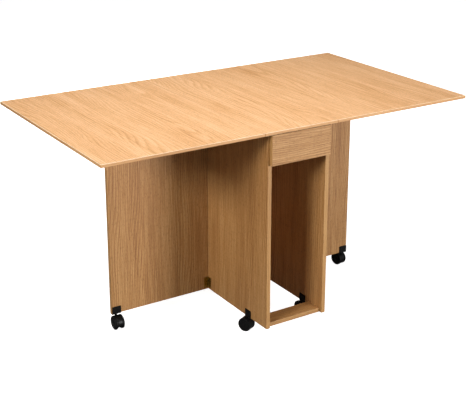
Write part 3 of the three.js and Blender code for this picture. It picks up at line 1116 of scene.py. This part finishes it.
@dataclass
class Caster:
    """One twin-wheel caster on its angle bracket.

    The hood and wheels are modelled about the swivel axis, trailing towards -Y, and are then
    turned to the way that the caster points.
    """

    word: str
    wheel_radius: float = 31 * MM
    shoulder_radius: float = 26 * MM
    hood_radius: float = 30.4 * MM
    hood_inside: float = 26.7 * MM
    hood_half: float = 10.5 * MM
    hood_rim: float = 1.6 * MM
    hood_start_degrees: float = -40
    hood_sweep_degrees: float = 232
    web_half: float = 3.5 * MM
    web_core: float = 6 * MM
    web_radius: float = 21.5 * MM
    boss_radius: float = 5.5 * MM
    boss_sink: float = 4.2 * MM
    bracket_gap: float = 1.2 * MM
    stem_radius: float = 4 * MM
    stem_sink: float = 3 * MM
    board_gap: float = 0.8 * MM
    axle_radius: float = 2.5 * MM
    axle_half: float = 17 * MM
    bracket_gauge: float = 2.5 * MM
    bracket_bend: float = 2.2 * MM
    bracket_corner: float = 3 * MM
    screw_spacing: float = 24 * MM
    screw_rise_share: float = 0.6

    def build(self) -> None:
        """Model the bracket, the hood with its stem, and both wheels."""
        swivel = find_joint(f"caster_{self.word}_swivel")
        stem = Vector(swivel["pos_m"])
        trail = Vector(find_joint(f"caster_{self.word}_wheel_1_roll")["pos_m"]) - stem
        reach = trail.to_2d().length
        axle = Vector((0, -reach, stem.z + trail.z))
        turned = Matrix.Rotation(math.atan2(trail.x, -trail.y), 4, "Z")
        to_world = Matrix.Translation((stem.x, stem.y, 0)) @ turned
        self._add_bracket(stem, swivel["parent"])
        self._add_hood(stem.z, axle, to_world)
        for number, sign in ((1, -1), (2, 1)):
            self._add_wheel(number, sign, axle, to_world)

    def _add_bracket(self, stem: Vector, body: str) -> None:
        """Model the angle bracket and its two screws.

        Args:
            stem: The swivel axis.
            body: The body that the bracket rides on.
        """
        node = f"caster_{self.word}_bracket"
        low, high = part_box(node)
        size = high - low
        facing_front = size.x > size.y
        out = Vector((0, -1, 0)) if facing_front else Vector((-1, 0, 0))
        side = Vector((1, 0, 0)) if facing_front else Vector((0, -1, 0))
        width, reach = (size.x, size.y) if facing_front else (size.y, size.x)
        origin = Vector((stem.x, low.y, low.z)) if facing_front else Vector((low.x, stem.y, low.z))
        to_world = axes_at(origin, side, -out, Vector((0, 0, 1)))
        gauge = self.bracket_gauge

        shape = bmesh.new()
        add_angle(
            shape, Vector((-width / 2, 0, 0)), Vector((width / 2, gauge, size.z)), gauge,
            Vector((0, 1, 0)), reach - gauge)
        outer = edges_along(shape, Axis.X, lambda p: abs(p.y) < TOUCHING and abs(p.z) < TOUCHING)
        soften(shape, outer, self.bracket_bend, 4)
        top = edges_along(shape, Axis.Y, lambda p: p.z > size.z - TOUCHING)
        soften(shape, top, self.bracket_corner, 4)
        inner = edges_along(shape, Axis.Z, lambda p: p.y > reach - TOUCHING)
        soften(shape, inner, self.bracket_corner, 4)
        soften(shape, sharp_edges(shape), 0.3 * MM, 2)
        bmesh.ops.transform(shape, matrix=to_world, verts=shape.verts[:])
        bmesh.ops.recalc_face_normals(shape, faces=shape.faces[:])
        add_piece(f"{node}_angle", shape, [BLACK_STEEL.material()], body, (node,))

        places = [
            to_world @ Vector((across, 0, self.screw_rise_share * size.z))
            for across in (-self.screw_spacing / 2, self.screw_spacing / 2)]
        Screw(3.0 * MM, 0.8 * MM).drive(node, places, out, BLACK_STEEL, body, "black_steel")

    def _add_hood(self, board_z: float, axle: Vector, to_world: Matrix) -> None:
        """Model the hood, web, axle and stem.

        Args:
            board_z: The height of the board's bottom edge.
            axle: The middle of the axle, seen from the swivel axis.
            to_world: Turns the caster and carries it to its board.
        """
        shape = bmesh.new()
        half, rim, radius_out = self.hood_half, self.hood_rim, self.hood_radius
        section = [
            (-half, self.hood_inside), (-half, radius_out - rim), (-half + rim, radius_out),
            (half - rim, radius_out), (half, radius_out - rim), (half, self.hood_inside),
            (self.web_half, self.hood_inside), (self.web_half, self.web_core),
            (-self.web_half, self.web_core), (-self.web_half, self.hood_inside)]
        start = math.radians(self.hood_start_degrees)
        ring = [
            shape.verts.new(Vector((
                across, axle.y + radius * math.cos(start), axle.z + radius * math.sin(start))))
            for across, radius in section]
        profile = shape.faces.new(ring)
        bmesh.ops.spin(
            shape, geom=[profile, *profile.edges, *profile.verts], cent=axle,
            axis=Vector((1, 0, 0)), angle=math.radians(self.hood_sweep_degrees),
            steps=44, use_merge=False, use_duplicate=False)
        bmesh.ops.recalc_face_normals(shape, faces=shape.faces[:])
        soften(shape, sharp_edges(shape, 60), 0.35 * MM, 2)
        middle = seat(axle, Vector((1, 0, 0)))
        add_drum(shape, middle, self.web_radius, 2 * self.web_half - 0.1 * MM, 36, 0.6 * MM)
        add_drum(shape, middle, self.axle_radius, 2 * self.axle_half, 16)
        bracket_low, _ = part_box(f"caster_{self.word}_bracket")
        hood_z = axle.z + math.sqrt(self.hood_radius ** 2 - axle.y ** 2)
        boss = (hood_z - self.boss_sink, bracket_low.z - self.bracket_gap)
        stem = (bracket_low.z - self.stem_sink, board_z - self.board_gap)
        for (low, high), radius, sides, chamfer in (
                (boss, self.boss_radius, 28, 0.8 * MM), (stem, self.stem_radius, 20, 0.4 * MM)):
            upright = Matrix.Translation((0, 0, (low + high) / 2))
            add_drum(shape, upright, radius, high - low, sides, chamfer)
        bmesh.ops.transform(shape, matrix=to_world, verts=shape.verts[:])
        node = f"caster_{self.word}_yoke"
        add_piece(
            f"caster_{self.word}_hood", shape, [BLACK_NYLON.material()], f"caster_{self.word}",
            (node,), smooth=True)

    def _add_wheel(self, number: int, sign: int, axle: Vector, to_world: Matrix) -> None:
        """Model one wheel by turning its section round the axle.

        Args:
            number: 1 or 2.
            sign: -1 or 1, for the side of the hood that it is on.
            axle: The middle of the axle, seen from the swivel axis.
            to_world: Turns the caster and carries it to its board.
        """
        node = f"caster_{self.word}_wheel_{number}"
        rim, shoulder = self.wheel_radius / MM, self.shoulder_radius / MM
        # Places along the axle and distances from it, in millimetres.
        section = [
            (17.3, 0.0), (17.3, 2.8), (4.3, 2.8), (4.0, 3.2), (4.0, shoulder - 0.5), (4.5, shoulder),
            (11.0, shoulder), (11.0, rim - 1.3), (11.7, rim - 0.2), (12.6, rim), (18.0, rim),
            (19.2, rim - 0.5), (19.8, rim - 1.7), (19.9, rim - 4.9), (19.3, rim - 5.5),
            (19.3, rim - 7.1), (20.0, rim - 7.7), (20.7, 16.5), (20.4, 15.8), (20.4, 8.0),
            (20.9, 7.0), (21.0, 0.0)]
        shape = bmesh.new()
        points = [
            shape.verts.new(Vector((sign * across * MM, axle.y, axle.z + radius * MM)))
            for across, radius in section]
        edges = [shape.edges.new(pair) for pair in zip(points, points[1:])]
        bmesh.ops.spin(
            shape, geom=[*points, *edges], cent=axle, axis=Vector((1, 0, 0)),
            angle=math.tau, steps=48, use_merge=True)
        bmesh.ops.remove_doubles(shape, verts=shape.verts[:], dist=TOUCHING)
        bmesh.ops.transform(shape, matrix=to_world, verts=shape.verts[:])
        bmesh.ops.recalc_face_normals(shape, faces=shape.faces[:])
        add_piece(
            f"{node}_tyre", shape, [TYRE_NYLON.material()], node, (node,), smooth=True)


# ------------------------------------------------------------------ studio


@dataclass(frozen=True)
class Softbox:
    """One rectangular light: where it hangs, what it faces, its width and height, its power.

    One that isn't mirrored lights the surfaces without showing in their sheen.
    """

    name: str
    place: tuple
    aim: tuple
    size: tuple
    watts: float
    mirrored: bool = True

    def hang(self) -> None:
        """Add the light to the scene."""
        data = bpy.data.lights.new(self.name, "AREA")
        data.shape = "RECTANGLE"
        data.size, data.size_y = self.size
        data.energy = self.watts
        light = bpy.data.objects.new(self.name, data)
        light.location = self.place
        facing = Vector(self.aim) - Vector(self.place)
        light.rotation_euler = facing.to_track_quat("-Z", "Y").to_euler()
        light.visible_camera = False
        light.visible_glossy = self.mirrored
        bpy.context.scene.collection.objects.link(light)


@dataclass
class Studio:
    """Plain pale floor, soft lights and the camera."""

    camera_place: tuple = (-2.3856, -3.7585, 2.1536)
    camera_pitch: float = 0.3191
    camera_yaw: float = 0.5639
    lens_mm: float = 81.473
    sensor_mm: float = 36.0
    shift: float = -0.10
    farthest: float = 200.0
    floor_half: float = 60.0
    floor_level: float = 0.88
    bounce_level: float = 0.24
    surround_radius: float = 45.0
    bounce_drop: float = 2 * MM
    sky_strength: float = 0.095
    lights: tuple = (
        Softbox("overhead_softbox", (-0.15, -0.35, 2.9), (0.0, 0.0, 0.9), (2.0, 2.0), 56),
        Softbox("front_softbox", (2.7, -6.0, 1.2), (0.0, 0.0, 0.5), (1.8, 1.4), 322),
        Softbox("left_softbox", (-4.6, -1.8, 2.7), (0.0, 0.0, 0.4), (1.6, 0.9), 178),
        Softbox("back_softbox", (1.5, 5.4, 0.9), (0.0, 0.0, 0.4), (1.4, 1.2), 150, mirrored=False),
    )

    def build(self) -> None:
        """Set up the camera, the floor, the sky and the lights."""
        self._add_camera()
        self._add_floor()
        self._add_sky()
        for light in self.lights:
            light.hang()

    def _add_camera(self) -> None:
        """Place the camera."""
        data = bpy.data.cameras.new("camera")
        data.lens = self.lens_mm
        data.sensor_width = self.sensor_mm
        data.shift_y = self.shift
        data.clip_end = self.farthest
        camera = bpy.data.objects.new("camera", data)
        camera.location = self.camera_place
        camera.rotation_euler = (math.pi / 2 - self.camera_pitch, 0.0, -self.camera_yaw)
        bpy.context.scene.collection.objects.link(camera)
        bpy.context.scene.camera = camera

    def _add_floor(self) -> None:
        """Lay the floor and hang the white surround.

        The floor and surround that are seen are lit from behind, as on a light table, and
        the sheet below them is the one that light meets.
        """
        floor = bmesh.new()
        bmesh.ops.create_grid(floor, x_segments=1, y_segments=1, size=self.floor_half)
        bounce = floor.copy()
        bmesh.ops.translate(bounce, verts=bounce.verts[:], vec=Vector((0, 0, -self.bounce_drop)))
        surround = bmesh.new()
        bmesh.ops.create_uvsphere(
            surround, u_segments=48, v_segments=24, radius=self.surround_radius)
        cut_level(surround, 0.0, keep_above=True)
        seen = [
            self._add_sheet("studio_floor", floor, self.floor_level, self.floor_level),
            self._add_sheet("studio_surround", surround, 0.0, 1.0)]
        for sheet in seen:
            sheet.visible_diffuse = False
            sheet.visible_glossy = False
            sheet.visible_shadow = False
        met = self._add_sheet("studio_bounce_floor", bounce, self.bounce_level, 0.0)
        met.visible_camera = False

    @staticmethod
    def _add_sheet(
        name: str, shape: bmesh.types.BMesh, albedo: float, glow: float,
    ) -> bpy.types.Object:
        """Add one wide sheet of studio paper.

        Args:
            name: The sheet's name.
            shape: Its mesh, which is freed here.
            albedo: The share of light that it gives back.
            glow: The light that it sends out by itself.

        Returns:
            The sheet.
        """
        mesh = bpy.data.meshes.new(name)
        shape.to_mesh(mesh)
        shape.free()
        material, _, shader = start_material(f"{name}_paper_matt")
        shader.inputs["Base Color"].default_value = grey(albedo)
        shader.inputs["Roughness"].default_value = 0.9
        shader.inputs["Specular IOR Level"].default_value = 0.2
        shader.inputs["Emission Color"].default_value = grey(1.0)
        shader.inputs["Emission Strength"].default_value = glow
        mesh.materials.append(material)
        sheet = bpy.data.objects.new(name, mesh)
        bpy.context.scene.collection.objects.link(sheet)
        return sheet

    def _add_sky(self) -> None:
        """Fill the surroundings with even white."""
        world = bpy.data.worlds.new("studio_white")
        world.use_nodes = True
        background = world.node_tree.nodes["Background"]
        background.inputs["Color"].default_value = grey(1.0)
        background.inputs["Strength"].default_value = self.sky_strength
        bpy.context.scene.world = world
        bpy.context.scene.view_settings.view_transform = "Standard"


def main() -> None:
    """Build the studio and the table, one sub-assembly after another."""
    logging.basicConfig(level=logging.INFO, format="%(message)s")
    Studio().build()
    Top().build()
    Tower().build()
    Drawer().build()
    for side in SIDES:
        Gate(side).build()
    for word in CASTERS:
        Caster(word).build()


if __name__ == "__main__":
    main()
